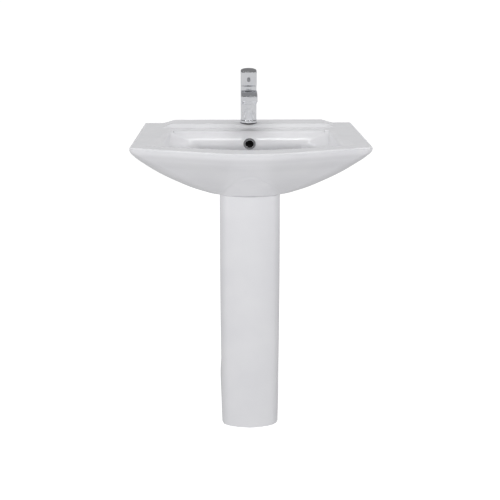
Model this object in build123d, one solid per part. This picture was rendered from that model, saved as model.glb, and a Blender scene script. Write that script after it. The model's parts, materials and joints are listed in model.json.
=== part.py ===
from build123d import *

import math
import os

# A pedestal wash basin with a single-lever mixer tap, a push-down waste plug and a bottle trap.
# Millimetres. +Z is up, +X is to the right and -Y is the front. The origin is on the floor, on the centre
# plane, midway between the wall face and the front of the rim. "Depth" is the distance forward from the
# wall face.

# ---- driving dimensions: basin ----
WIDTH = 600.0
DEPTH = 485.0
RIM_Z = 845.0
SEAT_Z = 690.0
BOWL_FLOOR_Z = 717.0
WALL = 9.0
WALL_FLANGE = 14.0
DECK = 11.0
RIM_ROUND = 5.0
LEDGE_RISE = 9.0
WALL_BOLT_SPACING = 280.0
WALL_BOLT_Z = 795.0
WALL_BOLT_RADIUS = 6.5
ACCESS_HALF = 200.0
ACCESS_DEPTH = 150.0
ACCESS_TOP = 745.0
FLANGE_BOTTOM = 735.0
RIB_HALF = 20.0
LEDGE_FOOT = (237.0, 231.0, 95.0)
LEDGE_TOP = (217.0, 225.0, 84.0)
PROW_RISE = 75.0
PROW_REACH = 115.0

# ---- driving dimensions: pedestal ----
PEDESTAL_HALF = 81.0
PEDESTAL_FRONT = 270.0
PEDESTAL_BACK = 60.0
PEDESTAL_BOW = 160.0
PEDESTAL_CORNER = 18.0
PEDESTAL_WALL = 10.0
PEDESTAL_SWELL = 2.0
FOOT_FLARE = 6.0
FOOT_FLARE_Z = 70.0
FOOT_FLARE_SPREAD = 70.0
PEDESTAL_LEVELS = 10
FLOOR_SCREW_SPACING = 104.0
FLOOR_SCREW_DEPTH = 84.0
FLOOR_SCREW_RADIUS = 4.0

# ---- driving dimensions: drain ----
WASTE_DEPTH = 226.0
WASTE_HOLE = 23.0
OUTLET_Z = 575.0
PIPE_RADIUS = 16.0
PIPE_BORE = 14.5
OUTLET_PUSH = 12.0
PLUG_TRAVEL = 8.0
OVERFLOW_DEPTH = 186.0
OVERFLOW_Z = 815.0
OVERFLOW_TILT = 33.0
OVERFLOW_HOLE = 12.0
OVERFLOW_SEAT = 17.0
OVERFLOW_BORE = 10.8

# ---- driving dimensions: tap ----
TAP_DEPTH = 64.0
TAP_HOLE = 17.5
TAP_RADIUS = 22.2
TAP_BASE_RADIUS = 23.8
TAP_TOP = 958.0
SPOUT_REACH = 110.0
SPOUT_TIP_TOP = 940.0
SPOUT_TIP_BOTTOM = 926.0
PIVOT_Z = 949.0
LIFT_LIMIT = 25.0
HANDLE_BOTTOM = 960.0
HANDLE_FRONT_TOP = 996.0
HANDLE_BACK_TOP = 1005.0
SUPPLY_END_Z = 560.0
SUPPLY_SPREAD = 45.0
SUPPLY_RADIUS = 5.0
SUPPLY_PUSH = 15.0
MARK_GROOVE = 0.3
STUD_RADIUS = 4.0
GRUB_Z = 976.0
INDEX_WIDTH = 8.0
INDEX_HEIGHT = 12.0

# Horizontal sections of the outside, from the seat up to the rim:
# height, front depth, half width, slope of the front flanks, nose radius, front corner radius.
HULL_SECTIONS = [
    (SEAT_Z, 258, 124, 0.26, 290, 54),
    (705, 283, 168, 0.28, 350, 70),
    (725, 318, 207, 0.30, 355, 82),
    (755, 368, 249, 0.32, 340, 80),
    (785, 414, 278, 0.33, 320, 68),
    (815, 462, 295, 0.35, 300, 40),
    (834, DEPTH - 1, WIDTH / 2 - 1, 0.354, 290, 16),
    (RIM_Z, DEPTH, WIDTH / 2, 0.354, 290, 14),
]
HULL_BACK_CORNER = 16.0
HULL_OVERRUN = RIM_ROUND + 1

# Horizontal sections of the bowl, from its floor up to above the rim:
# height, back depth, front depth, half width at the back and at the front, slope of the front flanks,
# nose radius, front corner radius, back corner radius.
BOWL_SECTIONS = [
    (BOWL_FLOOR_Z, 190, 264, 60, 66, 0.20, 60, 28, 25),
    (730, 190, 290, 118, 128, 0.24, 120, 35, 30),
    (755, 190, 330, 158, 172, 0.25, 170, 50, 45),
    (785, 190, 373, 185, 200, 0.26, 220, 70, 60),
    (OVERFLOW_Z, 186, 402, 203, 218, 0.26, 260, 45, 60),
    (RIM_Z, 148, 427, 216, 234, 0.265, 290, 12, 6),
    (RIM_Z + 12, 132, 436, 220, 240, 0.265, 290, 12, 6),
]

WASTE_Y = DEPTH / 2 - WASTE_DEPTH
TAP_Y = DEPTH / 2 - TAP_DEPTH
LEDGE_Z = RIM_Z + LEDGE_RISE
DECK_UNDERSIDE = RIM_Z - DECK
WASTE_AXIS = (0, WASTE_Y)
TAP_AXIS = (0, TAP_Y)
EXTRA = 20.0


def y_at(depth):
    return DEPTH / 2 - depth


def disc(radius, low, high, at=(0, 0)):
    upright = Cylinder(radius, high - low, align=(Align.CENTER, Align.CENTER, Align.MIN))
    return Pos(at[0], at[1], low) * upright


def tube(outer, inner, low, high, at=(0, 0)):
    return disc(outer, low, high, at) - disc(inner, low - 1, high + 1, at)


def block(x_range, depth_range, z_range):
    size = (x_range[1] - x_range[0], depth_range[1] - depth_range[0], z_range[1] - z_range[0])
    middle = (sum(x_range) / 2, y_at(sum(depth_range) / 2), sum(z_range) / 2)
    return Pos(*middle) * Box(*size)


def hex_nut(radius, bore, low, high, at=(0, 0)):
    body = Pos(at[0], at[1], low) * extrude(RegularPolygon(radius, 6), high - low)
    return body - disc(bore, low - 1, high + 1, at)


def side_profile(points, half_width):
    """A solid with the given (depth, height) outline, half_width wide on each side of the centre plane."""
    outline = make_face(Polyline([(0, y_at(depth), z) for depth, z in points], close=True))
    return extrude(outline, half_width, dir=(1, 0, 0), both=True)


def rounded_polygon(corners, z):
    """A flat face at height z from (x, y, corner radius) points."""
    face = make_face(Polyline([(x, y) for x, y, _ in corners], close=True))
    for x, y, radius in corners:
        if radius > 0:
            face = fillet(face.vertices().sort_by_distance((x, y, 0))[0], radius)
    return Pos(0, 0, z) * face


def basin_plan(z, back, front, half_back, half_front, slope, nose_radius, corner_radius, back_radius):
    """A plan section: straight back and sides, and two sloping front flanks that meet in a round nose."""
    nose_gap = nose_radius * (math.hypot(1, slope) - 1)
    apex = front + nose_gap
    corner = apex - slope * half_front
    corners = [
        (-half_back, y_at(back), back_radius),
        (-half_front, y_at(corner), corner_radius),
        (0, y_at(apex), nose_radius),
        (half_front, y_at(corner), corner_radius),
        (half_back, y_at(back), back_radius),
    ]
    return rounded_polygon(corners, z)


def hull_loft(inset=0.0, skip=0):
    """The outside of the basin, run on a little past the wall; inset moves it inwards and upwards."""
    sections = []
    for z, front, half, slope, nose_radius, corner_radius in HULL_SECTIONS[skip:]:
        half_inside = half - inset
        plan = (z + inset, -HULL_OVERRUN, front - inset, half_inside, half_inside, slope)
        sections.append(basin_plan(*plan, nose_radius, corner_radius, HULL_BACK_CORNER))
    return loft(sections)


def in_front_of(depth):
    """Everything in front of the flat plane at this depth."""
    return block((-WIDTH, WIDTH), (depth, DEPTH + EXTRA), (0, RIM_Z + EXTRA))


def outer_hull():
    """The solid outside of the basin with its rim rounded, cut flat where it meets the wall."""
    solid = hull_loft()
    rim_edges = solid.faces().sort_by(Axis.Z)[-1].edges()
    return fillet(rim_edges, RIM_ROUND) & in_front_of(0)


def bowl(outset=0.0):
    """The inside of the bowl, or the same shape moved outwards and downwards by outset."""
    sections = []
    for z, back, front, half_back, half_front, slope, *radii in BOWL_SECTIONS:
        plan = (z - outset, back - outset, front + outset, half_back + outset, half_front + outset)
        sections.append(basin_plan(*plan, slope, *radii))
    return loft(sections)


def tap_ledge():
    """The raised step along the wall that carries the tap."""
    sections = []
    for z, (half_back, half_front, front) in ((RIM_Z - 1, LEDGE_FOOT), (LEDGE_Z, LEDGE_TOP)):
        left = [(-half_back, y_at(0), 0), (-half_front, y_at(front), 8)]
        right = [(half_front, y_at(front), 8), (half_back, y_at(0), 0)]
        sections.append(rounded_polygon(left + right, z))
    ledge = loft(sections)
    top_edges = ledge.faces().sort_by(Axis.Z)[-1].edges()
    front_and_ends = top_edges.sort_by(Axis.Y)[:-1]
    return fillet(front_and_ends, 4)


def pedestal_plan(z, front, back, swell=0.0, flare=0.0, inset=0.0):
    """A plan section of the pedestal: a bowed front, round corners and straight sides to the back."""
    half = PEDESTAL_HALF + swell - inset
    half_at_back = half + flare
    sagitta = PEDESTAL_BOW - math.sqrt(PEDESTAL_BOW**2 - half**2)
    nose = y_at(front)
    shoulder = nose + sagitta
    rear = y_at(back)
    bow = ThreePointArc((-half, shoulder), (0, nose), (half, shoulder))
    sides = Polyline((half, shoulder), (half_at_back, rear), (-half_at_back, rear), (-half, shoulder))
    face = make_face(bow + sides)
    for x in (-half, half):
        face = fillet(face.vertices().sort_by_distance((x, shoulder, 0))[0], PEDESTAL_CORNER - inset)
    return Pos(0, 0, z) * face


def prow():
    """The tongue that carries the pedestal's front up and forward into the hull, ending in an arch."""
    foot = pedestal_plan(SEAT_Z, PEDESTAL_FRONT, PEDESTAL_BACK + 100)
    top = pedestal_plan(SEAT_Z + PROW_RISE, PEDESTAL_FRONT + PROW_REACH, PEDESTAL_BACK + 200)
    upright = Plane(origin=(0, y_at(0), SEAT_Z), x_dir=(1, 0, 0), z_dir=(0, -1, 0))
    curve = Bezier((-PEDESTAL_HALF, 0), (0, 2 * PROW_RISE), (PEDESTAL_HALF, 0))
    outline = make_face(curve + Line(curve @ 1, curve @ 0))
    return loft([foot, top]) & (upright * extrude(outline, DEPTH, dir=(0, 0, 1)))


def overflow_plane():
    direction = (0, -math.cos(math.radians(OVERFLOW_TILT)), math.sin(math.radians(OVERFLOW_TILT)))
    return Plane(origin=(0, y_at(OVERFLOW_DEPTH), OVERFLOW_Z), x_dir=(1, 0, 0), z_dir=direction)


def facing(plane, radius, low, high):
    upright = Cylinder(radius, high - low, align=(Align.CENTER, Align.CENTER, Align.MIN))
    return plane * Pos(0, 0, low) * upright


def overflow_rib():
    """The thick upright behind the bowl that the overflow passage runs down in."""
    outline = [(152, DECK_UNDERSIDE + 1), (160, 785), (160, SEAT_Z), (215, SEAT_Z), (215, 830)]
    return side_profile(outline, RIB_HALF)


def overflow_channel():
    """The passage behind the bowl's back wall, from the overflow hole down to the waste hole."""
    route = [(160, 824), (176, 822), (182, 785), (180, 708), (208, 708), (208, 696), (168, 696), (168, 800)]
    return side_profile(route, 12)


def make_basin():
    body = outer_hull() + tap_ledge() + prow()
    room = block((-WIDTH, WIDTH), (WALL_FLANGE, DEPTH), (SEAT_Z, DECK_UNDERSIDE))
    body -= (hull_loft(WALL, skip=1) & room) - bowl(WALL)
    access = block((-ACCESS_HALF, ACCESS_HALF), (WALL_FLANGE, ACCESS_DEPTH), (SEAT_Z - EXTRA, ACCESS_TOP))
    flange_foot = block((-WIDTH, WIDTH), (-1, WALL_FLANGE + 1), (SEAT_Z - EXTRA, FLANGE_BOTTOM))
    body = body - access - flange_foot
    body += overflow_rib()
    body -= bowl()
    body -= overflow_channel()
    body -= facing(overflow_plane(), OVERFLOW_HOLE, -16, 10)
    body -= facing(overflow_plane(), OVERFLOW_SEAT, 0, 14)
    body -= disc(WASTE_HOLE, SEAT_Z - 1, BOWL_FLOOR_Z + EXTRA, WASTE_AXIS)
    body -= disc(TAP_HOLE, DECK_UNDERSIDE - EXTRA, LEDGE_Z + 1, TAP_AXIS)
    for x in (-WALL_BOLT_SPACING / 2, WALL_BOLT_SPACING / 2):
        bolt_hole = Rot(90, 0, 0) * Cylinder(WALL_BOLT_RADIUS, 4 * WALL_FLANGE)
        body -= Pos(x, y_at(0), WALL_BOLT_Z) * bolt_hole
    return body


def make_overflow_ring():
    plane = overflow_plane()
    flange = facing(plane, OVERFLOW_SEAT - 0.5, 0.1, 2.6) - facing(plane, OVERFLOW_BORE, -1, 4)
    flange = fillet(flange.edges().filter_by(GeomType.CIRCLE).sort_by(Axis.Z)[-1], 0.8)
    sleeve = facing(plane, OVERFLOW_HOLE - 0.2, -9, 0.1) - facing(plane, OVERFLOW_BORE, -10, 1)
    return flange + sleeve


def pedestal_column(low, high, back, inset=0.0):
    """The pedestal between two heights: fuller in the middle, and flared at the back of the foot."""
    sections = []
    for level in range(PEDESTAL_LEVELS + 1):
        z = low + (high - low) * level / PEDESTAL_LEVELS
        swell = PEDESTAL_SWELL * math.sin(math.pi * z / SEAT_Z)
        flare = FOOT_FLARE * math.exp(-(((z - FOOT_FLARE_Z) / FOOT_FLARE_SPREAD) ** 2))
        sections.append(pedestal_plan(z, PEDESTAL_FRONT - inset, back, swell, flare, inset))
    return loft(sections)


def make_pedestal():
    outside = pedestal_column(0, SEAT_Z, PEDESTAL_BACK)
    top_edges = outside.faces().sort_by(Axis.Z)[-1].edges().sort_by(Axis.Y)[:-1]
    bottom_edges = outside.faces().sort_by(Axis.Z)[0].edges().sort_by(Axis.Y)[:-1]
    outside = fillet(top_edges + bottom_edges, 2.5)
    shell = outside - pedestal_column(-EXTRA, SEAT_Z + EXTRA, PEDESTAL_BACK - EXTRA, PEDESTAL_WALL)
    for side in (-1, 1):
        x = side * FLOOR_SCREW_SPACING / 2
        lug_depth = (PEDESTAL_BACK + 10, PEDESTAL_BACK + 42)
        lug = block((x - 13, x + 13), lug_depth, (0, 12))
        bridge = block(sorted((x, side * (PEDESTAL_HALF - 4))), lug_depth, (0, 12))
        shell += lug + bridge
        shell -= disc(FLOOR_SCREW_RADIUS, -1, 14, (x, y_at(FLOOR_SCREW_DEPTH)))
    return shell


# ---- waste and plug, on the waste axis ----

WASTE_FLANGE_Z = BOWL_FLOOR_Z + 1.5
WASTE_BODY_BOTTOM = 638.0
WASTE_THREAD = 20.5
WASTE_BORE = 17.5
GUIDE_FLOOR = 686.0
PLUG_OPEN_Z = WASTE_FLANGE_Z + 2.5 + PLUG_TRAVEL + 0.5
COLLAR_Z = 707.0


def make_waste_body():
    flange = tube(31.0, WASTE_BORE, WASTE_FLANGE_Z, WASTE_FLANGE_Z + 2.5, WASTE_AXIS)
    outer_edge = flange.edges().filter_by(GeomType.CIRCLE).group_by(Axis.Z)[-1].sort_by(SortBy.RADIUS)[-1]
    flange = fillet(outer_edge, 1.5)
    body = flange + tube(WASTE_THREAD, WASTE_BORE, WASTE_BODY_BOTTOM, WASTE_FLANGE_Z, WASTE_AXIS)
    for turn in (0, 60, 120):
        window = Pos(0, WASTE_Y, 702) * Rot(0, 0, turn) * Box(2.4 * WASTE_THREAD, 11, 10)
        body -= window
    return body


def make_waste_top_seal():
    return tube(30.0, WASTE_THREAD + 0.1, BOWL_FLOOR_Z, WASTE_FLANGE_Z, WASTE_AXIS)


def make_waste_gasket():
    return tube(28.0, WASTE_THREAD + 0.1, SEAT_Z - 8, SEAT_Z, WASTE_AXIS)


def make_waste_backnut():
    return hex_nut(30.0, WASTE_THREAD + 0.1, SEAT_Z - 19, SEAT_Z - 8, WASTE_AXIS)


def make_plug_guide():
    """The cup in the middle of the waste that the plug stem slides in, held by three ribs."""
    cup = tube(10.0, 7.5, GUIDE_FLOOR, 713, WASTE_AXIS)
    cup += disc(10.0, GUIDE_FLOOR - 2, GUIDE_FLOOR, WASTE_AXIS)
    for turn in (30, 150, 270):
        rib = Pos(0, WASTE_Y, 689) * Rot(0, 0, turn) * Pos(13.2, 0, 0) * Box(8.2, 2, 10)
        cup += rib
    return cup


def make_plug_stem():
    stem = disc(3.0, COLLAR_Z - 8, PLUG_OPEN_Z, WASTE_AXIS)
    return stem + disc(7.2, COLLAR_Z, COLLAR_Z + 5, WASTE_AXIS)


def make_plug_spring():
    low = GUIDE_FLOOR + 0.6
    high = COLLAR_Z - 0.6
    path = Helix(pitch=(high - low) / 5, height=high - low, radius=5.6)
    wire = Plane(origin=path @ 0, z_dir=path % 0) * Circle(0.5)
    return Pos(0, WASTE_Y, low) * sweep(wire, path=path)


def make_plug_cap():
    cap = disc(29.5, PLUG_OPEN_Z, PLUG_OPEN_Z + 4, WASTE_AXIS)
    crown = cap.edges().filter_by(GeomType.CIRCLE).group_by(Axis.Z)[-1]
    return fillet(crown, 2.5)


def make_plug_seal():
    return tube(16.5, 10.0, PLUG_OPEN_Z - 3, PLUG_OPEN_Z, WASTE_AXIS)


# ---- bottle trap ----

TRAP_TOP = 606.0
TRAP_SPLIT = 541.0
TRAP_BOTTOM = 470.0
TRAP_RADIUS = 28.0
OUTLET_BOSS_END = WASTE_DEPTH - 46
ROSETTE_DEPTH = 15.0


def along_wall_axis(radius, near, far):
    """A cylinder along Y at the outlet's height, between two depths."""
    plane = Plane(origin=(0, y_at(far), OUTLET_Z), x_dir=(1, 0, 0), z_dir=(0, 1, 0))
    return plane * Cylinder(radius, far - near, align=(Align.CENTER, Align.CENTER, Align.MIN))


def pipe_along_wall_axis(outer, inner, near, far):
    return along_wall_axis(outer, near, far) - along_wall_axis(inner, near - 1, far + 1)


def make_trap_inlet_nut():
    nut = tube(26.0, WASTE_THREAD + 0.1, 632, 656, WASTE_AXIS)
    return nut + tube(26.0, PIPE_RADIUS + 0.1, 628, 632, WASTE_AXIS)


def make_trap_inlet_washer():
    return tube(20.0, PIPE_RADIUS + 0.1, 634.5, WASTE_BODY_BOTTOM, WASTE_AXIS)


def make_trap_dip_tube():
    tail = tube(PIPE_RADIUS, PIPE_BORE, 505, WASTE_BODY_BOTTOM - 3.5, WASTE_AXIS)
    return tail + tube(20.0, PIPE_BORE, 632, WASTE_BODY_BOTTOM - 3.5, WASTE_AXIS)


def make_trap_body():
    shell = disc(TRAP_RADIUS, TRAP_SPLIT, TRAP_TOP, WASTE_AXIS)
    shell = fillet(shell.edges().filter_by(GeomType.CIRCLE).sort_by(Axis.Z)[-1], 5)
    shell += along_wall_axis(20.5, OUTLET_BOSS_END, WASTE_DEPTH)
    shell += disc(21.0, TRAP_TOP, TRAP_TOP + 6, WASTE_AXIS)
    shell -= disc(TRAP_RADIUS - 2.5, TRAP_SPLIT - 1, TRAP_TOP - 3, WASTE_AXIS)
    shell -= disc(PIPE_RADIUS + 0.1, TRAP_SPLIT, TRAP_TOP + 7, WASTE_AXIS)
    return shell - along_wall_axis(PIPE_RADIUS + 0.1, OUTLET_BOSS_END - 1, WASTE_DEPTH - 20)


def make_trap_top_nut():
    nut = tube(24.0, 21.1, TRAP_TOP + 1, TRAP_TOP + 11, WASTE_AXIS)
    return nut + tube(24.0, PIPE_RADIUS + 0.1, TRAP_TOP + 11, TRAP_TOP + 14, WASTE_AXIS)


def make_trap_top_seal():
    return tube(21.0, PIPE_RADIUS + 0.1, TRAP_TOP + 6, TRAP_TOP + 11, WASTE_AXIS)


def make_trap_cup_seal():
    return tube(TRAP_RADIUS, TRAP_RADIUS - 3.5, TRAP_SPLIT - 2.5, TRAP_SPLIT, WASTE_AXIS)


def make_trap_cup():
    top = TRAP_SPLIT - 2.5
    outside = disc(TRAP_RADIUS, TRAP_BOTTOM, top, WASTE_AXIS)
    outside = fillet(outside.edges().filter_by(GeomType.CIRCLE).sort_by(Axis.Z)[0], 12)
    inside = disc(TRAP_RADIUS - 2.5, TRAP_BOTTOM + 3, top + 1, WASTE_AXIS)
    inside = fillet(inside.edges().filter_by(GeomType.CIRCLE).sort_by(Axis.Z)[0], 10)
    return outside - inside


def make_trap_outlet_nut():
    near = OUTLET_BOSS_END - 6
    nut = pipe_along_wall_axis(25.0, 20.6, near + 4, near + 22)
    return nut + pipe_along_wall_axis(25.0, PIPE_RADIUS + 0.1, near, near + 4)


def make_trap_outlet_washer():
    return pipe_along_wall_axis(20.0, PIPE_RADIUS + 0.1, OUTLET_BOSS_END - 2, OUTLET_BOSS_END)


def make_trap_outlet_pipe():
    pipe = pipe_along_wall_axis(PIPE_RADIUS, PIPE_BORE, 0, OUTLET_BOSS_END + 20)
    mark = pipe_along_wall_axis(PIPE_RADIUS + 1, PIPE_RADIUS - MARK_GROOVE, OUTLET_PUSH, OUTLET_PUSH + 1)
    return pipe - mark


def make_trap_wall_flange():
    """A hollow cover that slides along the pipe and hides the hole in the wall."""
    cover = along_wall_axis(34.0, 0, ROSETTE_DEPTH)
    rim = cover.edges().filter_by(GeomType.CIRCLE).sort_by(Axis.Y)[0]
    cover = fillet(rim, 9) + along_wall_axis(19.5, 0, ROSETTE_DEPTH + 6)
    inside = along_wall_axis(31.5, -1, ROSETTE_DEPTH - 2.5)
    inside = fillet(inside.edges().filter_by(GeomType.CIRCLE).sort_by(Axis.Y)[0], 7)
    return cover - inside - along_wall_axis(PIPE_RADIUS + 0.1, -1, ROSETTE_DEPTH + 7)


# ---- tap, on the tap axis ----

TAP_BASE_Z = LEDGE_Z + 2.0
INLET_SPACING = 9.0
INLET_Y = TAP_Y - 4
STUD_Y = TAP_Y + 9
CARTRIDGE_FLOOR = 916.0
CARTRIDGE_TOP = 954.0
CARTRIDGE_RADIUS = 17.5
AERATOR_Y = TAP_Y - SPOUT_REACH + 17
DOME_RADIUS = 20.0
DOME_OPENING = 13.4
SUPPLY_SOCKET_TOP = TAP_BASE_Z + 16


def make_tap_gasket():
    return tube(TAP_BASE_RADIUS - 0.5, TAP_HOLE - 0.5, LEDGE_Z, TAP_BASE_Z, TAP_AXIS)


def spout_solid():
    """The flat arm: the same width as the body, with a bowed tip and a top that falls towards it."""
    tip = TAP_DEPTH + SPOUT_REACH
    profile = [(TAP_DEPTH, 953.5), (tip, SPOUT_TIP_TOP), (tip, SPOUT_TIP_BOTTOM), (tip - 56, 919),
               (TAP_DEPTH + 22, 902), (TAP_DEPTH, 893)]
    arm = side_profile(profile, TAP_RADIUS)
    shoulder = tip - 7
    sides = Polyline((-TAP_RADIUS, y_at(shoulder)), (-TAP_RADIUS, TAP_Y), (TAP_RADIUS, TAP_Y),
                     (TAP_RADIUS, y_at(shoulder)))
    front = ThreePointArc((TAP_RADIUS, y_at(shoulder)), (0, y_at(tip)), (-TAP_RADIUS, y_at(shoulder)))
    plan = make_face(sides + front)
    for x in (-TAP_RADIUS, TAP_RADIUS):
        plan = fillet(plan.vertices().sort_by_distance((x, y_at(shoulder), 0))[0], 4)
    return arm & (Pos(0, 0, 880) * extrude(plan, 90))


def make_tap_body():
    body = disc(TAP_RADIUS, TAP_BASE_Z + 5, TAP_TOP, TAP_AXIS) + spout_solid()
    base = disc(TAP_BASE_RADIUS, TAP_BASE_Z, TAP_BASE_Z + 7, TAP_AXIS)
    body += fillet(base.edges().filter_by(GeomType.CIRCLE).sort_by(Axis.Z)[-1], 1.5)
    body -= disc(CARTRIDGE_RADIUS + 0.2, CARTRIDGE_FLOOR, TAP_TOP + 1, TAP_AXIS)
    body -= disc(STUD_RADIUS + 0.05, TAP_BASE_Z - 1, TAP_BASE_Z + 18, (0, STUD_Y))
    for x in (-INLET_SPACING, INLET_SPACING):
        body -= disc(SUPPLY_RADIUS + 0.05, TAP_BASE_Z - 1, SUPPLY_SOCKET_TOP, (x, INLET_Y))
        body -= disc(3.0, SUPPLY_SOCKET_TOP - 1, CARTRIDGE_FLOOR + 1, (x, INLET_Y))
    waterway = [(TAP_DEPTH + 8, 921), (TAP_DEPTH + 24, 926), (TAP_DEPTH + SPOUT_REACH - 12, 934),
                (TAP_DEPTH + SPOUT_REACH - 12, 929), (TAP_DEPTH + 24, 917), (TAP_DEPTH + 8, 911)]
    body -= side_profile(waterway, 5)
    return body - disc(12.1, SPOUT_TIP_BOTTOM - 12, SPOUT_TIP_BOTTOM + 5, (0, AERATOR_Y))


def make_aerator_housing():
    ring = tube(12.0, 10.0, SPOUT_TIP_BOTTOM - 7, SPOUT_TIP_BOTTOM + 4, (0, AERATOR_Y))
    return fillet(ring.edges().filter_by(GeomType.CIRCLE).group_by(Axis.Z)[0], 0.6)


def make_aerator_insert():
    insert = disc(9.9, SPOUT_TIP_BOTTOM - 5.5, SPOUT_TIP_BOTTOM + 3, (0, AERATOR_Y))
    for count, radius in ((6, 3.2), (12, 6.6)):
        for step in range(count):
            angle = math.tau * step / count
            hole = (radius * math.cos(angle), AERATOR_Y + radius * math.sin(angle))
            insert -= disc(1.1, SPOUT_TIP_BOTTOM - 7, SPOUT_TIP_BOTTOM, hole)
    return insert


def make_cartridge_housing():
    cup = disc(CARTRIDGE_RADIUS, CARTRIDGE_FLOOR + 0.2, CARTRIDGE_TOP, TAP_AXIS)
    cup -= disc(15.3, CARTRIDGE_FLOOR + 4, CARTRIDGE_TOP + 1, TAP_AXIS)
    for x, y in ((-8, INLET_Y), (8, INLET_Y), (0, TAP_Y + 9)):
        cup -= disc(2.5, CARTRIDGE_FLOOR - 1, CARTRIDGE_FLOOR + 5, (x, y))
    return cup


def make_fixed_disc():
    plate = disc(15.1, CARTRIDGE_FLOOR + 4.2, CARTRIDGE_FLOOR + 10, TAP_AXIS)
    for x, y in ((-8, INLET_Y), (8, INLET_Y), (0, TAP_Y + 9)):
        plate -= disc(2.5, CARTRIDGE_FLOOR + 4, CARTRIDGE_FLOOR + 11, (x, y))
    return plate


MOVING_DISC_BOTTOM = CARTRIDGE_FLOOR + 10.3
LEVER_ARM = 9.0


def make_moving_disc():
    plate = disc(11.0, MOVING_DISC_BOTTOM, PIVOT_Z - 12, TAP_AXIS)
    plate -= disc(7.5, MOVING_DISC_BOTTOM - 1, MOVING_DISC_BOTTOM + 2.5, TAP_AXIS)
    carrier = disc(7.0, PIVOT_Z - 12, PIVOT_Z - 7.6, TAP_AXIS)
    return plate + carrier - disc(3.3, PIVOT_Z - 12.4, PIVOT_Z - 7, TAP_AXIS)


def make_cartridge_rotor():
    rotor = disc(14.8, PIVOT_Z - 7.2, CARTRIDGE_TOP - 1.2, TAP_AXIS)
    rotor -= Pos(0, TAP_Y, PIVOT_Z) * Box(9.0, 18.0, 40)
    pin_hole = Pos(0, TAP_Y, PIVOT_Z) * Rot(0, 90, 0) * Cylinder(1.5, 40)
    return rotor - pin_hole


def make_pivot_pin():
    return Pos(0, TAP_Y, PIVOT_Z) * Rot(0, 90, 0) * Cylinder(1.5, 25)


def make_cartridge_stem():
    stem = Pos(0, TAP_Y, PIVOT_Z + 14) * Box(8.0, 8.0, 34)
    ball = Pos(0, TAP_Y, PIVOT_Z - LEVER_ARM) * Sphere(2.6)
    neck = disc(1.8, PIVOT_Z - LEVER_ARM, PIVOT_Z, TAP_AXIS)
    pin_hole = Pos(0, TAP_Y, PIVOT_Z) * Rot(0, 90, 0) * Cylinder(1.55, 40)
    return stem + ball + neck - pin_hole


def make_cartridge_nut():
    return tube(CARTRIDGE_RADIUS + 0.1, 13.0, CARTRIDGE_TOP + 0.2, TAP_TOP, TAP_AXIS)


def about_pivot(radius):
    return Pos(0, TAP_Y, PIVOT_Z) * Sphere(radius)


def make_dome():
    """A round collar under the handle, open enough for the stem however the handle is turned and lifted."""
    shell = about_pivot(DOME_RADIUS) - about_pivot(DOME_RADIUS - 1.5)
    cap = shell & disc(30, TAP_TOP, PIVOT_Z + 40, TAP_AXIS)
    return cap - disc(DOME_OPENING, TAP_TOP - 1, PIVOT_Z + 40, TAP_AXIS)


def handle_blank():
    """A block with a flat front and a half-round back, a sloping top, and a heel cut clear for lifting."""
    flat = TAP_RADIUS - 0.4
    sides = Polyline((TAP_RADIUS, TAP_Y), (TAP_RADIUS, TAP_Y - flat), (-TAP_RADIUS, TAP_Y - flat),
                     (-TAP_RADIUS, TAP_Y))
    back_curve = ThreePointArc((-TAP_RADIUS, TAP_Y), (0, TAP_Y + TAP_RADIUS), (TAP_RADIUS, TAP_Y))
    plan = make_face(sides + back_curve)
    for x in (-TAP_RADIUS, TAP_RADIUS):
        plan = fillet(plan.vertices().sort_by_distance((x, TAP_Y - flat, 0))[0], 3)
    upright = Pos(0, 0, HANDLE_BOTTOM - 1) * extrude(plan, 60)
    heel = HANDLE_BOTTOM + (TAP_RADIUS + 3) * math.tan(math.radians(LIFT_LIMIT + 2))
    front = TAP_DEPTH + TAP_RADIUS + 3
    back = TAP_DEPTH - TAP_RADIUS - 3
    profile = [(front, HANDLE_BOTTOM), (TAP_DEPTH, HANDLE_BOTTOM), (back, heel), (back, HANDLE_BACK_TOP),
               (front, HANDLE_FRONT_TOP)]
    return upright & side_profile(profile, TAP_RADIUS + 3)


def make_handle():
    body = handle_blank()
    body = fillet(body.faces().sort_by(Axis.Z)[-1].edges(), 1.5)
    body -= about_pivot(DOME_RADIUS + 0.5)
    body -= disc(11.0, HANDLE_BOTTOM - 1, PIVOT_Z + 22, TAP_AXIS)
    body -= Pos(0, TAP_Y, PIVOT_Z + 14) * Box(8.1, 8.1, 36)
    return body - grub_hole(2.55) - index_plate(0.1, -2, 1.8)


def grub_hole(radius):
    return Pos(0, TAP_Y - 14, GRUB_Z) * Rot(90, 0, 0) * Cylinder(radius, 20)


def index_plate(clearance, near, far):
    """The upright pill-shaped plate in the handle's front, from near to far behind the handle's face."""
    outline = SlotOverall(INDEX_HEIGHT + 2 * clearance, INDEX_WIDTH + 2 * clearance, rotation=90)
    return Pos(0, TAP_Y - TAP_RADIUS + far, GRUB_Z) * Rot(90, 0, 0) * extrude(outline, far - near)


def make_handle_grub_screw():
    screw = Pos(0, TAP_Y - 9, GRUB_Z) * Rot(90, 0, 0) * Cylinder(2.5, 10)
    socket = extrude(RegularPolygon(1.4, 6), 4, both=True)
    return screw - Pos(0, TAP_Y - 13, GRUB_Z) * Rot(90, 0, 0) * socket


def make_handle_index():
    return index_plate(0, 0.4, 1.7)


# ---- tap fixing and supply tails ----

STUD_LENGTH = 60.0
HORSESHOE_RADIUS = 29.0


def horseshoe(thickness, top):
    plate = disc(HORSESHOE_RADIUS, top - thickness, top, (0, TAP_Y))
    slot = block((-15.5, 15.5), (TAP_DEPTH - 4, TAP_DEPTH + 40), (top - thickness - 1, top + 1))
    return plate - slot - disc(STUD_RADIUS + 0.1, top - thickness - 1, top + 1, (0, STUD_Y))


def make_tap_rubber_washer():
    return horseshoe(3, DECK_UNDERSIDE)


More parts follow.
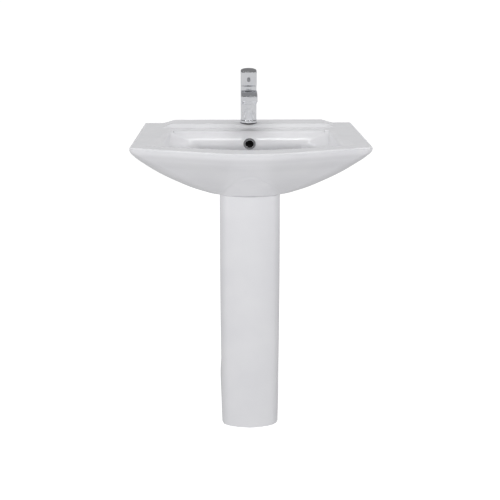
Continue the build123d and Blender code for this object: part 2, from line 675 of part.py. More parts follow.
def make_tap_metal_washer():
    return horseshoe(2, DECK_UNDERSIDE - 3)


def make_tap_stud():
    top = TAP_BASE_Z + 17
    return disc(STUD_RADIUS, top - STUD_LENGTH, top, (0, STUD_Y))


def make_tap_stud_nut():
    return hex_nut(7.5, STUD_RADIUS + 0.05, DECK_UNDERSIDE - 15, DECK_UNDERSIDE - 5, (0, STUD_Y))


def supply_route(side):
    """From the body straight down through the deck, then a gentle spread to the side."""
    start = side * INLET_SPACING
    end = side * SUPPLY_SPREAD
    upper = Line((start, INLET_Y, SUPPLY_SOCKET_TOP - 1), (start, INLET_Y, 800))
    bend = Bezier((start, INLET_Y, 800), (start, INLET_Y, 765), (end, INLET_Y, 755), (end, INLET_Y, 720))
    lower = Line((end, INLET_Y, 720), (end, INLET_Y, SUPPLY_END_Z))
    return upper + bend + lower


def make_supply_tail(side):
    """A plain tube with a shallow ring groove that marks how far its end is pushed into a joint."""
    route = supply_route(side)
    start = (side * INLET_SPACING, INLET_Y, SUPPLY_SOCKET_TOP - 1)
    outside = sweep(Plane(origin=start, z_dir=(0, 0, -1)) * Circle(SUPPLY_RADIUS), path=route)
    inside = sweep(Plane(origin=start, z_dir=(0, 0, -1)) * Circle(SUPPLY_RADIUS - 1), path=route)
    mark_z = SUPPLY_END_Z + SUPPLY_PUSH
    mark_axis = (side * SUPPLY_SPREAD, INLET_Y)
    mark = tube(SUPPLY_RADIUS + 1, SUPPLY_RADIUS - MARK_GROOVE, mark_z, mark_z + 0.8, mark_axis)
    return outside - inside - mark


def make_tail_nuts():
    nuts = [hex_nut(11.5, SUPPLY_RADIUS + 0.1, SUPPLY_END_Z + 22, SUPPLY_END_Z + 34, (x, INLET_Y))
            for x in (-SUPPLY_SPREAD, SUPPLY_SPREAD)]
    return Compound(children=nuts)


def make_tail_olives():
    olives = [tube(6.4, SUPPLY_RADIUS + 0.05, SUPPLY_END_Z + 16, SUPPLY_END_Z + 21.5, (x, INLET_Y))
              for x in (-SUPPLY_SPREAD, SUPPLY_SPREAD)]
    return Compound(children=olives)


NODES = {
    "basin": make_basin,
    "overflow_ring": make_overflow_ring,
    "pedestal": make_pedestal,
    "waste_body": make_waste_body,
    "waste_top_seal": make_waste_top_seal,
    "waste_gasket": make_waste_gasket,
    "waste_backnut": make_waste_backnut,
    "plug_guide": make_plug_guide,
    "plug_stem": make_plug_stem,
    "plug_spring": make_plug_spring,
    "plug_cap": make_plug_cap,
    "plug_seal": make_plug_seal,
    "trap_inlet_nut": make_trap_inlet_nut,
    "trap_inlet_washer": make_trap_inlet_washer,
    "trap_dip_tube": make_trap_dip_tube,
    "trap_body": make_trap_body,
    "trap_top_nut": make_trap_top_nut,
    "trap_top_seal": make_trap_top_seal,
    "trap_cup_seal": make_trap_cup_seal,
    "trap_cup": make_trap_cup,
    "trap_outlet_nut": make_trap_outlet_nut,
    "trap_outlet_washer": make_trap_outlet_washer,
    "trap_outlet_pipe": make_trap_outlet_pipe,
    "trap_wall_flange": make_trap_wall_flange,
    "tap_gasket": make_tap_gasket,
    "tap_body": make_tap_body,
    "aerator_housing": make_aerator_housing,
    "aerator_insert": make_aerator_insert,
    "cartridge_housing": make_cartridge_housing,
    "cartridge_fixed_disc": make_fixed_disc,
    "cartridge_moving_disc": make_moving_disc,
    "cartridge_rotor": make_cartridge_rotor,
    "cartridge_pivot_pin": make_pivot_pin,
    "cartridge_stem": make_cartridge_stem,
    "cartridge_nut": make_cartridge_nut,
    "tap_dome": make_dome,
    "handle": make_handle,
    "handle_grub_screw": make_handle_grub_screw,
    "handle_index": make_handle_index,
    "tap_rubber_washer": make_tap_rubber_washer,
    "tap_metal_washer": make_tap_metal_washer,
    "tap_stud": make_tap_stud,
    "tap_stud_nut": make_tap_stud_nut,
    "supply_tail_hot": lambda: make_supply_tail(-1),
    "supply_tail_cold": lambda: make_supply_tail(1),
    "supply_tail_nuts": make_tail_nuts,
    "supply_tail_olives": make_tail_olives,
}


os.makedirs("parts", exist_ok=True)
for name, make in NODES.items():
    export_step(make(), f"parts/{name}.step")
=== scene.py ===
import json
import math

import bpy
import numpy as np
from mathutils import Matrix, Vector


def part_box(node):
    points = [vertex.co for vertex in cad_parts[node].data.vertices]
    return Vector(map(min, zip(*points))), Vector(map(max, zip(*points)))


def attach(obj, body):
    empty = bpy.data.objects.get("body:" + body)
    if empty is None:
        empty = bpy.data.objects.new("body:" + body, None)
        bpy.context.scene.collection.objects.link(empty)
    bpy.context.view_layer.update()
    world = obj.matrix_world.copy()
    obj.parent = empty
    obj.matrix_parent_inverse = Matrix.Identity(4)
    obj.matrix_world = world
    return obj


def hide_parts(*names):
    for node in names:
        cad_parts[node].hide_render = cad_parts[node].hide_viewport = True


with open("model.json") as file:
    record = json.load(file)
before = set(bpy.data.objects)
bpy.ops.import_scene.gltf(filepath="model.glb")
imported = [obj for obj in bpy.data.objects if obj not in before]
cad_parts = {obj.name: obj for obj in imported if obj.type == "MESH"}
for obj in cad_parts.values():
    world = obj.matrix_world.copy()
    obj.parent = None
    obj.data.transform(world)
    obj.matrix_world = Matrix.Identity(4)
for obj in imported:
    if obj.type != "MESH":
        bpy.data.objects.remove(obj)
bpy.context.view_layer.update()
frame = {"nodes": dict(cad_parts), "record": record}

# A pedestal wash basin: white glazed china, a chrome mixer tap and the brassware behind and below.
# Blender works in metres: +Z is up, -Y is the front. The distance fields below work in millimetres,
# where "depth" is the distance forward from the wall face.
MM = 0.001
basin_low, basin_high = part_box("basin")
pedestal_low, pedestal_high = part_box("pedestal")
pin_low, pin_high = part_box("cartridge_pivot_pin")
waste_low, waste_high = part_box("waste_body")

WALL_Y = basin_high.y
LEDGE_RISE = 9
RIM_Z = basin_high.z - LEDGE_RISE * MM
TAP_AXIS_Y = (pin_low.y + pin_high.y) / 2
PIVOT_Z = (pin_low.z + pin_high.z) / 2
WASTE_AXIS_Y = (waste_low.y + waste_high.y) / 2


# ---- solids as distance fields: negative inside, about the distance to the surface near it ----

def both(a, b, radius=0.0):
    """What two solids share, with the edge between them rounded."""
    corner = np.hypot(np.maximum(a + radius, 0), np.maximum(b + radius, 0))
    return np.minimum(np.maximum(a, b), -radius) + corner


def joined(a, b, radius=0.0):
    """Two solids in one, with a fillet where they meet."""
    return -both(-a, -b, radius)


def cut(a, b, radius=0.0):
    """The first solid without the second, with the edge rounded."""
    return both(a, -b, radius)


def slab(value, low, high):
    return np.maximum(low - value, value - high)


CURVE_STEP = 0.25


def smooth_columns(rows):
    """The columns of a table, as smooth curves over the height in its first column."""
    z = np.array([row[0] for row in rows], float)
    height = np.arange(z[0], z[-1] + CURVE_STEP, CURVE_STEP)
    i = np.clip(np.searchsorted(z, height, side="right") - 1, 0, len(z) - 2)
    step = np.diff(z)
    t = (height - z[i]) / step[i]
    columns = []
    for column in range(1, len(rows[0])):
        v = np.array([row[column] for row in rows], float)
        rise = np.diff(v) / step
        inner = (rise[:-1] * step[1:] + rise[1:] * step[:-1]) / (step[1:] + step[:-1])
        tangent = np.concatenate([[rise[0]], inner, [rise[-1]]])
        bend = (t - 1) * t * ((t - 1) * (tangent[i] - rise[i]) + t * (tangent[i + 1] - rise[i])) * step[i]
        columns.append(v[i] + rise[i] * (height - z[i]) + bend)
    return height, columns


def at_height(table, z):
    height, columns = table
    return [np.interp(z, height, column) for column in columns]


def surface_mesh(name, field, low, high, step, mirrored=True):
    """A mesh of the surface where field(x, y, z) is zero, with normals measured on the field."""
    if mirrored:
        low = (0.0, low[1], low[2])
    axes = [np.arange(a, b + step, step) for a, b in zip(low, high)]
    grid = np.meshgrid(*axes, indexing="ij")
    values = field(*(axis.ravel() for axis in grid)).reshape(grid[0].shape)
    if mirrored:
        values = np.concatenate([values[:0:-1], values])
        low = (-axes[0][-1], low[1], low[2])
    points, quads = surface_net(values, low, step)
    for _ in range(3):
        value, slope = value_and_slope(field, points, step / 8)
        move = (value / np.maximum((slope**2).sum(1), 0.05))[:, None] * slope
        length = np.linalg.norm(move, axis=1)[:, None]
        points -= move * np.minimum(1, 0.6 * step / np.maximum(length, 1e-9))
    slope = value_and_slope(field, points, step / 8)[1]
    normals = slope / np.maximum(np.linalg.norm(slope, axis=1)[:, None], 1e-9)
    return mesh_object(name, points, quads, normals)


def value_and_slope(field, points, reach):
    value = field(*points.T)
    slope = np.empty_like(points)
    for axis in range(3):
        shift = np.zeros(3)
        shift[axis] = reach
        slope[:, axis] = (field(*(points + shift).T) - field(*(points - shift).T)) / (2 * reach)
    return value, slope


def surface_net(values, low, step):
    """One point in each cell that the surface crosses, and one quad across each crossed grid edge."""
    inside = values < 0
    shape = tuple(n - 1 for n in values.shape)
    corners = [(a, b, c) for a in (0, 1) for b in (0, 1) for c in (0, 1)]
    filled = sum(
        inside[a:a + shape[0], b:b + shape[1], c:c + shape[2]].astype(np.int8)
        for a, b, c in corners
    )
    cells = np.argwhere((filled > 0) & (filled < 8))
    number = np.full(shape, -1, np.int64)
    number[tuple(cells.T)] = np.arange(len(cells))
    total = np.zeros((len(cells), 3))
    hits = np.zeros(len(cells))
    for start in corners:
        for axis in range(3):
            if start[axis]:
                continue
            end = tuple(1 if i == axis else start[i] for i in range(3))
            a = values[tuple((cells + start).T)]
            b = values[tuple((cells + end).T)]
            crossed = (a < 0) != (b < 0)
            share = np.where(crossed, a / np.where(crossed, a - b, 1), 0)
            total += crossed[:, None] * np.array(start, float)
            total[:, axis] += share
            hits += crossed
    points = (cells + total / hits[:, None]) * step + np.array(low)
    quads = []
    for axis in range(3):
        u, v = (axis + 1) % 3, (axis + 2) % 3
        near = [slice(1, -1)] * 3
        near[axis] = slice(0, -1)
        far = list(near)
        far[axis] = slice(1, None)
        change = inside[tuple(near)] != inside[tuple(far)]
        base = np.argwhere(change)
        base[:, u] += 1
        base[:, v] += 1
        ring = []
        for du, dv in ((0, 0), (-1, 0), (-1, -1), (0, -1)):
            cell = base.copy()
            cell[:, u] += du
            cell[:, v] += dv
            ring.append(number[tuple(cell.T)])
        ring = np.stack(ring, 1)
        outward = inside[tuple(near)][change]
        quads.append(np.where(outward[:, None], ring, ring[:, ::-1]))
    return points, np.concatenate(quads)


def mesh_object(name, points, quads, normals=None):
    mesh = bpy.data.meshes.new(name)
    mesh.vertices.add(len(points))
    mesh.vertices.foreach_set("co", np.asarray(points, np.float32).ravel())
    mesh.loops.add(quads.size)
    mesh.loops.foreach_set("vertex_index", quads.astype(np.int32).ravel())
    mesh.polygons.add(len(quads))
    mesh.polygons.foreach_set("loop_start", np.arange(0, quads.size, quads.shape[1], dtype=np.int32))
    mesh.update(calc_edges=True)
    mesh.validate()
    mesh.polygons.foreach_set("use_smooth", np.ones(len(mesh.polygons), bool))
    if normals is not None:
        mesh.normals_split_custom_set_from_vertices(normals.tolist())
    obj = bpy.data.objects.new(name, mesh)
    bpy.context.scene.collection.objects.link(obj)
    return obj


# ---- basin ----

SEAT = 690
RIM = 845
LEDGE = RIM + LEDGE_RISE
BOWL_FLOOR = 717
CHINA_WALL = 9
DECK_UNDERSIDE = 834
WALL_FLANGE = 14
WASTE_HOLE = 23
TAP_HOLE = 17.5
WALL_BOLT_X = 140
WALL_BOLT_Z = 795
WALL_BOLT_RADIUS = 6.5
OVERFLOW_DEPTH = 186
OVERFLOW_Z = 815
OVERFLOW_TILT = math.radians(33)
OVERFLOW_HOLE = 12
OVERFLOW_SEAT = 17
PROW_RISE = 75
PROW_REACH = 115
PEDESTAL_HALF = 81
PEDESTAL_FRONT = 270
PEDESTAL_BACK = 60
PEDESTAL_BOW = 160
PEDESTAL_CORNER = 18
PEDESTAL_WALL = 10

# Millimetres: height, front depth, half width, slope of the front flanks, nose radius, corner radius.
HULL_ROWS = [
    (690, 258, 124, 0.26, 290, 54),
    (705, 283, 168, 0.28, 350, 70),
    (725, 318, 207, 0.30, 355, 82),
    (755, 368, 249, 0.32, 340, 80),
    (785, 414, 278, 0.33, 320, 68),
    (815, 462, 295, 0.35, 300, 40),
    (834, 484, 299, 0.354, 290, 16),
    (845, 485, 300, 0.354, 290, 14),
]
# Millimetres: height, back depth, front depth, half width at back and front, slope of the front flanks,
# then the nose, corner and back radii.
BOWL_ROWS = [
    (717, 190, 264, 60, 66, 0.20, 60, 28, 25),
    (730, 190, 290, 118, 128, 0.24, 120, 35, 30),
    (755, 190, 330, 158, 172, 0.25, 170, 50, 45),
    (785, 190, 373, 185, 200, 0.26, 220, 70, 60),
    (815, 186, 402, 203, 218, 0.26, 260, 45, 60),
    (845, 148, 427, 216, 234, 0.265, 290, 12, 6),
    (857, 132, 436, 220, 240, 0.265, 290, 12, 6),
]


def with_steepness(rows, columns):
    """The table's curves, and how much a sideways distance shrinks when it is measured square to the wall."""
    height, curves = smooth_columns(rows)
    run = sum(np.abs(np.gradient(curves[c], height)) for c in columns) / len(columns)
    return height, curves + [1 / np.hypot(1, run)]


HULL = with_steepness(HULL_ROWS, (0, 1))
BOWL = with_steepness(BOWL_ROWS, (1, 3))


def front_flanks(x, depth, front, slope, nose_radius):
    """Distance past two sloping flanks that meet in a round nose."""
    from_centre = depth - (front - nose_radius)
    apex = front + nose_radius * (np.hypot(1, slope) - 1)
    flank = (depth - apex + slope * x) / np.hypot(1, slope)
    nose = np.hypot(x, from_centre) - nose_radius
    return np.where(x < slope * from_centre, nose, flank)


def hull_field(x, depth, z):
    front, half, slope, nose_radius, corner_radius, steepness = at_height(HULL, z)
    flanks = front_flanks(x, depth, front, slope, nose_radius)
    return both(x - half, flanks, corner_radius) * steepness


def bowl_field(x, depth, z):
    """The bowl, then the distance past its side and past its front."""
    back, front, half_back, half_front, slope, *radii, steepness = at_height(BOWL, z)
    nose_radius, corner_radius, back_radius = radii
    apex = front + nose_radius * (np.hypot(1, slope) - 1)
    lean = (half_front - half_back) / (apex - slope * half_front - back)
    side = (x - half_back - lean * (depth - back)) / np.hypot(1, lean)
    flanks = front_flanks(x, depth, front, slope, nose_radius)
    plan = both(both(side, flanks, corner_radius), back - depth, back_radius)
    return both(plan * steepness, BOWL_FLOOR - z, 10), side, flanks


def basin_field(x, y, z):
    x = np.abs(x) / MM
    depth = (WALL_Y - y) / MM
    z = z / MM
    outer = hull_field(x, depth, z)
    bowl, bowl_side, bowl_front = bowl_field(x, depth, z)
    body = both(outer, z - RIM, 6)
    body = joined(body, ledge_field(x, depth, z), 7)
    body = joined(body, prow_field(x, depth, z), 6)
    body = both(both(body, SEAT - z, 2), -depth, 2)
    hollow = both(both(outer + CHINA_WALL, z - DECK_UNDERSIDE, 6), WALL_FLANGE - depth, 6)
    hollow = both(both(hollow, 714 - z, 6), CHINA_WALL - bowl, 6)
    body = cut(body, hollow, 2)
    body = cut(body, np.maximum(np.maximum(x - 200, slab(depth, WALL_FLANGE, 150)), z - 745), 3)
    body = cut(body, np.maximum(depth - 15, z - 735), 3)
    rib = np.maximum(np.maximum(x - 20, slab(depth, 160, 215)), slab(z, SEAT, 830))
    body = np.minimum(body, rib)
    facet = np.maximum(facet_field(x, depth, z), bowl_front)
    facet = np.maximum(np.maximum(facet, 146 - depth), -8 - bowl_side)
    body = cut(body, facet, 2.5)
    body = cut(body, bowl, 4.5)
    body = cut(body, np.maximum(np.maximum(x - 12, slab(depth, 176, 184)), slab(z, 696, 816)), 1)
    body = cut(body, np.maximum(np.maximum(x - 12, slab(depth, 176, 215)), slab(z, 696, 707)), 1)
    out, across = overflow_axes(x, depth, z)
    body = cut(body, np.maximum(across - OVERFLOW_HOLE, slab(out, -16, 8)), 1.0)
    body = cut(body, np.maximum(across - OVERFLOW_SEAT, slab(out, 0, 14)), 0.8)
    waste_axis = (WALL_Y - WASTE_AXIS_Y) / MM
    body = cut(body, np.hypot(x, depth - waste_axis) - WASTE_HOLE, 2)
    tap_axis = (WALL_Y - TAP_AXIS_Y) / MM
    body = cut(body, np.maximum(np.hypot(x, depth - tap_axis) - TAP_HOLE, 800 - z), 1.5)
    bolt = np.hypot(x - WALL_BOLT_X, z - WALL_BOLT_Z) - WALL_BOLT_RADIUS
    body = cut(body, np.maximum(bolt, depth - 40), 1)
    return body * MM


def overflow_axes(x, depth, z):
    """Distance out of the overflow's seat, and away from its axis."""
    ahead = depth - OVERFLOW_DEPTH
    above = z - OVERFLOW_Z
    out = ahead * math.cos(OVERFLOW_TILT) + above * math.sin(OVERFLOW_TILT)
    up = above * math.cos(OVERFLOW_TILT) - ahead * math.sin(OVERFLOW_TILT)
    return out, np.hypot(x, up)


def ledge_field(x, depth, z):
    front = ((depth - 95) * LEDGE_RISE + (z - RIM) * 11) / math.hypot(LEDGE_RISE, 11)
    end = 237 - depth / 16 - (z - RIM) * (20 - depth / 6.5) / LEDGE_RISE
    ends = (x - end) * 0.5
    return np.maximum(both(both(front, ends, 8), z - LEDGE, 5), 835 - z)


def facet_field(x, depth, z):
    """The shallow fall from the rim towards each side of the bowl."""
    line = math.hypot(38, 230)
    inward = ((depth - 146) * 38 - (x - 216) * 230) / line
    return (RIM - 0.27 * np.clip(inward, -20, 40)) - z


def pedestal_plan(x, depth, half, front, corner_radius):
    bowed = np.hypot(x, depth - (front - PEDESTAL_BOW)) - PEDESTAL_BOW
    return both(x - half, bowed, corner_radius)


def prow_field(x, depth, z):
    """The pedestal's front carried up and forward into the hull, ending in an arch."""
    lean = PROW_REACH / PROW_RISE
    depth_at_seat = depth - lean * (z - SEAT)
    plan = pedestal_plan(x, depth_at_seat, PEDESTAL_HALF, PEDESTAL_FRONT, PEDESTAL_CORNER)
    plan = plan / math.hypot(1, 0.6 * lean)
    drop = PROW_RISE * (x / PEDESTAL_HALF) ** 2
    steepness = 2 * PROW_RISE * x / PEDESTAL_HALF**2
    arch = (z - (SEAT + PROW_RISE) + drop) / np.hypot(1, steepness)
    return np.maximum(both(plan, arch, 4), 200 - depth)


def make_basin(step):
    pad = 2 * step
    low = (basin_low.x - pad, basin_low.y - pad, basin_low.z - pad)
    high = (basin_high.x + pad, basin_high.y + pad, basin_high.z + pad)
    basin = surface_mesh("basin_china", basin_field, low, high, step)
    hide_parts("basin")
    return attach(basin, "sink")


# ---- pedestal ----

def pedestal_field(x, y, z):
    x = np.abs(x) / MM
    depth = (WALL_Y - y) / MM
    z = z / MM
    swell = 2 * np.sin(np.pi * z / SEAT)
    flare = 6 * np.exp(-(((z - 70) / 70) ** 2))
    half_at_front = PEDESTAL_HALF + swell
    towards_back = np.clip((254 - depth) / 190, 0, 1)
    side = x - half_at_front - flare * towards_back
    bow = np.hypot(x, depth - (PEDESTAL_FRONT - PEDESTAL_BOW)) - PEDESTAL_BOW
    outside = both(side, bow, PEDESTAL_CORNER)
    inside = both(side + PEDESTAL_WALL, bow + PEDESTAL_WALL, 10)
    body = both(both(outside, PEDESTAL_BACK - depth, 2), np.maximum(-z, z - SEAT), 2.5)
    body = cut(body, inside, 2)
    lug = np.maximum(np.maximum(39 - x, x - 78), np.maximum(slab(depth, 70, 102), slab(z, 0, 12)))
    body = joined(body, lug, 3)
    body = both(body, -z, 1)
    body = cut(body, np.hypot(x - 52, depth - 84) - 4, 1)
    return body * MM


def make_pedestal(step):
    pad = 2 * step
    low = (pedestal_low.x - pad, pedestal_low.y - pad, pedestal_low.z - pad)
    high = (pedestal_high.x + pad, pedestal_high.y + pad, pedestal_high.z + pad)
    pedestal = surface_mesh("pedestal_china", pedestal_field, low, high, step)
    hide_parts("pedestal")
    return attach(pedestal, "sink")


# ---- tap, measured forward from its axis ----

def tap_place(x, y, z):
    return np.abs(x) / MM, (TAP_AXIS_Y - y) / MM, z / MM


def spout_underside(forward):
    return np.interp(forward, (0, 12, 22, 36, 54, 80, 110), (891, 896, 902.5, 910.5, 917.5, 922.5, 926))


def tap_body_field(x, y, z):
    x, forward, z = tap_place(x, y, z)
    from_axis = np.hypot(x, forward)
    column = both(both(from_axis - 22.2, z - 958, 0.8), 858 - z, 0.5)
    top = (z - 953.5 + forward * 13.5 / 110) / math.hypot(1, 13.5 / 110)
    under = (spout_underside(forward) - z) / 1.12
    tip = np.hypot(x, forward - 71.3) - 38.7
    arm = both(both(x - 22.2, tip, 4), both(top, under, 1.2), 1.2)
    arm = np.maximum(arm, -forward)
    body = joined(column, arm, 0.6)
    base = both(from_axis - 23.8, z - 863, 1.5)
    body = both(joined(body, base, 1.0), 856 - z, 0.4)
    body = cut(body, np.maximum(from_axis - 17.7, 916 - z), 0.4)
    for radius, across, ahead, top_z in ((4.05, 0, -9, 874), (5.05, 9, 4, 872), (3.0, 9, 4, 917)):
        body = np.maximum(body, -np.maximum(np.hypot(x - across, forward - ahead) - radius, z - top_z))
    body = cut(body, np.maximum(np.hypot(x, forward - 93) - 12.1, z - 931), 0.4)
    return body * MM


def handle_field(x, y, z):
    x, forward, z = tap_place(x, y, z)
    plan = np.where(forward < 0, np.hypot(x, forward) - 22.2, both(x - 22.2, forward - 21.8, 3))
    top = (z - 1000.5 + forward * 9 / 50.4) / math.hypot(1, 9 / 50.4)
    heel = (960 - z - np.minimum(forward, 0) * math.tan(math.radians(27))) * math.cos(math.radians(27))
    bottom = np.where(forward < 0, heel, 960 - z)
    body = both(both(plan, top, 1.6), bottom, 0.5)
    ball = np.sqrt(x**2 + forward**2 + (z - PIVOT_Z / MM) ** 2) - 20.5
    body = cut(body, ball, 0.3)
    body = np.maximum(body, -np.maximum(np.hypot(x, forward) - 11, z - 971))
    body = np.maximum(body, -np.maximum(np.maximum(x - 4.05, np.abs(forward) - 4.05), z - 981))
    body = np.maximum(body, -np.maximum(np.hypot(x, z - 976) - 2.55, np.abs(forward - 14) - 10))
    plate = np.hypot(x, np.maximum(np.abs(z - 976) - 2, 0)) - 4.1
    body = cut(body, np.maximum(plate, 20.4 - forward), 0.2)
    return body * MM


def make_tap_piece(name, node, field, body, step):
    low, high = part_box(node)
    pad = 2 * step
    low = (low.x - pad, low.y - pad, low.z - pad)
    high = (high.x + pad, high.y + pad, high.z + pad)
    piece = surface_mesh(name, field, low, high, step)
    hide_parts(node)
    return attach(piece, body)


# ---- materials ----

class Graph:
    """A material's nodes, with short ways to add and join them."""

    def __init__(self, name):
        self.material = bpy.data.materials.new(name)
        self.material.use_nodes = True
        self.nodes = self.material.node_tree.nodes
        self.links = self.material.node_tree.links
        self.shader = self.nodes["Principled BSDF"]
        self.place = self.nodes.new("ShaderNodeTexCoord").outputs["Object"]

    def add(self, kind, **inputs):
        node = self.nodes.new(kind)
        for key, value in inputs.items():
            if hasattr(node, key):
                setattr(node, key, value)
                continue
            socket = node.inputs[key.replace("_", " ").title()]
            if isinstance(value, bpy.types.NodeSocket):
                self.links.new(value, socket)
            else:
                socket.default_value = value
        return node

    def noise(self, scale, detail=3.0, roughness=0.5, stretch=None):
        place = self.place
        if stretch:
            mapping = self.add("ShaderNodeMapping", vector=self.place)
            mapping.inputs["Scale"].default_value = stretch
            place = mapping.outputs[0]
        node = self.add("ShaderNodeTexNoise", vector=place, scale=scale, detail=detail, roughness=roughness)
        return node.outputs[0]

    def ramp(self, value, *stops):
        node = self.add("ShaderNodeValToRGB")
        self.links.new(value, node.inputs[0])
        elements = node.color_ramp.elements
        while len(elements) < len(stops):
            elements.new(0.5)
        for element, (position, color) in zip(elements, stops):
            element.position = position
            element.color = color if isinstance(color, tuple) else (color, color, color, 1)
        return node.outputs[0]

    def bump(self, height, distance, strength=1.0, after=None):
        node = self.add("ShaderNodeBump", strength=strength, distance=distance)
        self.links.new(height, node.inputs["Height"])
        if after is not None:
            self.links.new(after, node.inputs["Normal"])
        return node.outputs[0]

    def set(self, **inputs):
        for key, value in inputs.items():
            socket = self.shader.inputs[key.replace("_", " ").title().replace("Ior", "IOR")]
            if isinstance(value, bpy.types.NodeSocket):
                self.links.new(value, socket)
            else:
                socket.default_value = value


def rgb(red, green, blue):
    return (red, green, blue, 1.0)


def overflow_painted_shade(g, tone):
    """The tone with painted shade: darkened to near black close to a point inside the overflow hole, standing
    in for the shadow in the hole and the passage behind it.
    """
    inward = 13
    below_rim = RIM - OVERFLOW_Z
    middle_y = WALL_Y - (OVERFLOW_DEPTH - inward * math.cos(OVERFLOW_TILT)) * MM
    middle_z = RIM_Z - below_rim * MM - inward * math.sin(OVERFLOW_TILT) * MM
    middle = (0, middle_y, middle_z)
    away = g.add("ShaderNodeVectorMath", operation="DISTANCE")
    g.links.new(g.place, away.inputs[0])
    away.inputs[1].default_value = middle
    spread = g.add("ShaderNodeMapRange", from_max=0.1)
    g.links.new(away.outputs["Value"], spread.inputs[0])
    # Painted shade: near black within 14.5 mm of that point, full tone again beyond 17.5 mm.
    painted_shade = g.ramp(spread.outputs[0], (0.145, 0.01), (0.175, 1.0))
    mix = g.add("ShaderNodeMix", data_type="RGBA", blend_type="MULTIPLY")
    mix.inputs["Factor"].default_value = 1.0
    g.links.new(tone, mix.inputs[6])
    g.links.new(painted_shade, mix.inputs[7])
    return mix.outputs[2]


def china_material():
    g = Graph("glazed_china")
    tone = g.ramp(g.noise(9, 2), (0.35, rgb(0.765, 0.765, 0.785)), (0.65, rgb(0.80, 0.80, 0.815)))
    # Painted shade: the glaze colour is darkened to near black inside the overflow hole.
    tone = overflow_painted_shade(g, tone)
    gloss = g.ramp(g.noise(60, 4), (0.3, 0.10), (0.7, 0.16))
    waves = g.bump(g.noise(22, 1), 0.0006, 0.35)
    peel = g.bump(g.noise(420, 2), 0.00004, 0.5, waves)
    g.set(base_color=tone, roughness=gloss, normal=peel)
    g.set(ior=1.5, coat_weight=0.25, coat_roughness=0.03)
    return g.material


def chrome_material():
    g = Graph("chrome")
    tone = g.ramp(g.noise(40, 2), (0.3, rgb(0.83, 0.84, 0.86)), (0.7, rgb(0.88, 0.89, 0.90)))
    gloss = g.ramp(g.noise(160, 6), (0.35, 0.035), (0.75, 0.09))
    lines = g.bump(g.noise(900, 2, stretch=(1.0, 1.0, 0.08)), 0.000004, 0.25)
    # Painted shade: the chrome colour is darkened to near black inside the overflow ring's hole.
    g.set(base_color=overflow_painted_shade(g, tone), roughness=gloss, normal=lines, metallic=1.0)
    return g.material


def metal_material(name, dark, light, rough, line_scale, depth):
    g = Graph(name)
    tone = g.ramp(g.noise(70, 4), (0.3, rgb(*dark)), (0.7, rgb(*light)))
    gloss = g.ramp(g.noise(220, 5), (0.3, rough[0]), (0.7, rough[1]))
    lines = g.bump(g.noise(line_scale, 3, stretch=(0.15, 0.15, 1.0)), depth, 0.4)
    g.set(base_color=tone, roughness=gloss, normal=lines, metallic=1.0)
    return g.material


def soft_material(name, dark, light, rough, grain, depth):
    g = Graph(name)
    tone = g.ramp(g.noise(50, 3), (0.3, rgb(*dark)), (0.7, rgb(*light)))
    gloss = g.ramp(g.noise(180, 3), (0.3, rough[0]), (0.7, rough[1]))
    g.set(base_color=tone, roughness=gloss, normal=g.bump(g.noise(grain, 3), depth, 0.5))
    return g.material


MATERIALS = {
    "glazed_china": china_material(),
    "chrome": chrome_material(),
}
# Dark and light colour, roughness range, size of the surface lines or grain, and their depth in metres.
METALS = {
    "brass": ((0.62, 0.44, 0.19), (0.76, 0.57, 0.29), (0.22, 0.38), 1200, 0.00002),
    "stainless": ((0.52, 0.52, 0.52), (0.66, 0.66, 0.65), (0.20, 0.32), 1400, 0.00001),
    "zinc_plated_steel": ((0.52, 0.53, 0.53), (0.70, 0.70, 0.66), (0.28, 0.45), 500, 0.00002),
}
SOFT_MATERIALS = {
    "black_rubber": ((0.025, 0.025, 0.027), (0.055, 0.055, 0.058), (0.55, 0.75), 1500, 0.00003),
    "white_polymer": ((0.74, 0.74, 0.71), (0.83, 0.83, 0.81), (0.35, 0.5), 1800, 0.00001),
    "grey_polymer": ((0.20, 0.205, 0.215), (0.28, 0.285, 0.30), (0.35, 0.5), 1800, 0.00001),
    "sintered_alumina": ((0.78, 0.75, 0.69), (0.86, 0.83, 0.77), (0.12, 0.25), 900, 0.00001),
}
for slot, look in METALS.items():
    MATERIALS[slot] = metal_material(slot, *look)
for slot, look in SOFT_MATERIALS.items():
    MATERIALS[slot] = soft_material(slot, *look)


def give_material(obj, slot):
    obj.data.materials.clear()
    obj.data.materials.append(MATERIALS[slot])


# ---- studio ----

def make_floor():
    """A pale floor out to 200 m, left out of reflections and bounced light."""
    mesh = bpy.data.meshes.new("studio_floor")
    radius, sides = 200, 64
    turns = [math.tau * step / sides for step in range(sides)]
    points = [(radius * math.cos(turn), radius * math.sin(turn), 0) for turn in turns]
    mesh.from_pydata(points, [], [tuple(range(sides))])
    floor = bpy.data.objects.new("studio_floor", mesh)
    bpy.context.scene.collection.objects.link(floor)
    g = Graph("studio_floor")
    tone = g.ramp(g.noise(1.5, 2), (0.3, 0.29), (0.7, 0.31))
    g.set(base_color=tone, roughness=0.9, specular_ior_level=0.1)
    g.set(emission_color=rgb(1, 1, 1), emission_strength=0.97)
    mesh.materials.append(g.material)
    floor.visible_diffuse = False
    floor.visible_glossy = False


def add_light(name, place, target, size, power, mirrored):
    light = bpy.data.lights.new(name, "AREA")
    light.shape = "RECTANGLE"
    light.size, light.size_y = size
    light.energy = power
    obj = bpy.data.objects.new(name, light)
    obj.location = place
    obj.rotation_euler = (Vector(target) - Vector(place)).to_track_quat("-Z", "Y").to_euler()
    obj.visible_glossy = mirrored
    bpy.context.scene.collection.objects.link(obj)


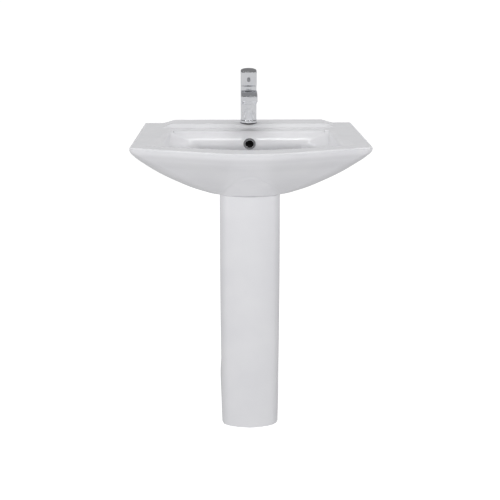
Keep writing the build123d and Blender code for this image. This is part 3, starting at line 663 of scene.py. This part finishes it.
def make_world():
    """A dim studio with a pale ground."""
    world = bpy.data.worlds.new("studio")
    bpy.context.scene.world = world
    world.use_nodes = True
    nodes = world.node_tree.nodes
    links = world.node_tree.links
    place = nodes.new("ShaderNodeTexCoord").outputs["Generated"]
    split = nodes.new("ShaderNodeSeparateXYZ")
    links.new(place, split.inputs[0])
    spread = nodes.new("ShaderNodeMapRange")
    spread.inputs["From Min"].default_value = -1.0
    links.new(split.outputs["Z"], spread.inputs[0])
    ramp = nodes.new("ShaderNodeValToRGB")
    links.new(spread.outputs[0], ramp.inputs[0])
    stops = ((0.30, 0.50), (0.42, 0.66), (0.50, 0.60), (0.66, 0.32), (0.76, 0.13), (1.0, 0.22))
    while len(ramp.color_ramp.elements) < len(stops):
        ramp.color_ramp.elements.new(0.5)
    for element, (position, tone) in zip(ramp.color_ramp.elements, stops):
        element.position = position
        element.color = rgb(tone, tone, tone * 1.02)
    links.new(ramp.outputs[0], nodes["Background"].inputs["Color"])


CAMERA_PLACE = (-0.0476, -2.1281, 1.2104)
CAMERA_TILT_DOWN = 17.64
CAMERA_TURN = -1.28
CAMERA_LENS = 58.77


def make_camera():
    camera = bpy.data.cameras.new("camera")
    camera.lens = CAMERA_LENS
    camera.sensor_width = 36.0
    camera.clip_end = 500
    obj = bpy.data.objects.new("camera", camera)
    obj.location = CAMERA_PLACE
    obj.rotation_euler = (math.radians(90 - CAMERA_TILT_DOWN), 0, math.radians(CAMERA_TURN))
    bpy.context.scene.collection.objects.link(obj)
    bpy.context.scene.camera = obj


# ---- putting it together ----

record_slots = {piece["node"]: piece["material_slot"] for piece in frame["record"]["subparts"]}
for node, obj in frame["nodes"].items():
    give_material(obj, record_slots[node])

coarse = 1
give_material(make_basin(3 * MM * coarse), "glazed_china")
give_material(make_pedestal(4 * MM * coarse), "glazed_china")
tap_body = make_tap_piece("tap_body_chrome", "tap_body", tap_body_field, "sink", 0.8 * MM * coarse)
give_material(tap_body, "chrome")
handle = make_tap_piece("handle_chrome", "handle", handle_field, "lever", 0.7 * MM * coarse)
give_material(handle, "chrome")

make_floor()
make_world()
make_camera()
add_light("front_left", (-1.9, -2.2, 0.7), (0, 0, 0.55), (1.8, 1.2), 32, mirrored=False)
add_light("front_right", (1.9, -2.2, 0.7), (0, 0, 0.55), (1.8, 1.2), 26, mirrored=False)
add_light("top", (0.0, 0.1, 2.8), (0, 0.05, 0.85), (2.4, 1.2), 31, mirrored=False)
add_light("strip", (0.0, 0.237, 2.8), (0, 0.15, 0.85), (2.2, 0.16), 6, mirrored=True)
bpy.context.scene.view_settings.view_transform = "Standard"
